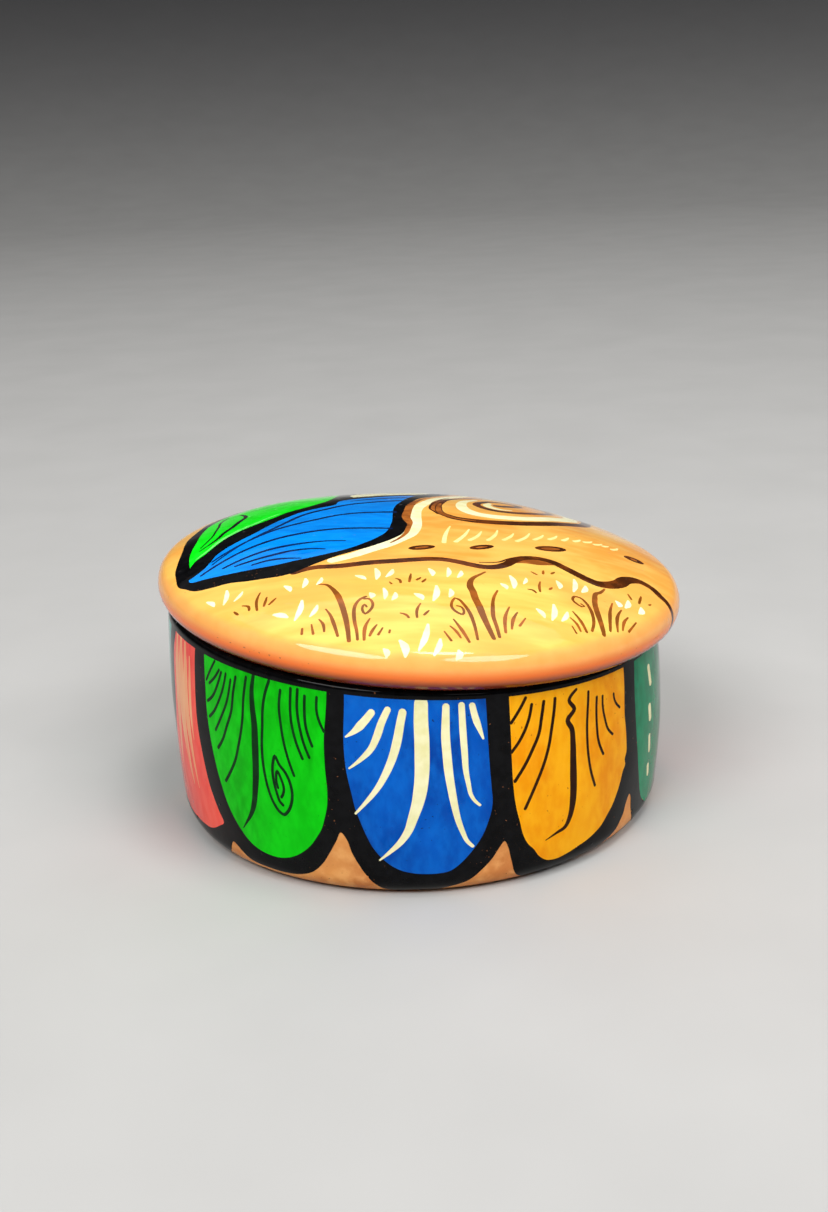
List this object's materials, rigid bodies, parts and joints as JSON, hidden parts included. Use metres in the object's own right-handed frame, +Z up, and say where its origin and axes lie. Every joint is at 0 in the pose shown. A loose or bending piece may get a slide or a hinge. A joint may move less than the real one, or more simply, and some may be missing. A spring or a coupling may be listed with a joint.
{
  "type": "lidded trinket box",
  "caption": "Round hand-painted, varnished clay trinket box: a bulging bowl on a flat foot, with a shallow domed overhanging lid that lifts off.",
  "frame": {"origin": "centre of the base's flat foot, on the surface it stands on", "axes": "+Z up, -Y the painted front, +X the side where the mouth is lowest"},
  "size_m": [0.0996, 0.1, 0.0549],
  "materials": {
    "base_clay": "fired terracotta under clear gloss varnish, painted outside",
    "lid_clay": "fired terracotta washed orange under clear gloss varnish, painted on top",
    "ring_clay": "plain fired terracotta, thin varnish",
    "black_paint": "brushed black outline under gloss varnish",
    "brown_paint": "thin dark brown brush lines under gloss varnish",
    "cream_paint": "cream brush strokes under gloss varnish",
    "green_paint": "bright green under gloss varnish",
    "blue_paint": "cobalt blue under gloss varnish",
    "sky_blue_paint": "brighter blue under gloss varnish",
    "amber_paint": "yellow-orange under gloss varnish",
    "coral_paint": "coral red with peach dry brush under gloss varnish",
    "teal_paint": "teal green under gloss varnish",
    "pale_teal_paint": "pale teal under gloss varnish",
    "yellow_paint": "straw yellow blended into the orange under gloss varnish"
  },
  "bodies": {
    "base": {"box_base": "base_clay"},
    "lid": {"lid": "lid_clay", "lid_locating_ring": "ring_clay"}
  },
  "joints": [
    {"name": "lid_lift", "type": "slide", "parent": "base", "child": "lid", "axis": [0, 0, 1], "range_m": [0, 0.07]}
  ]
}
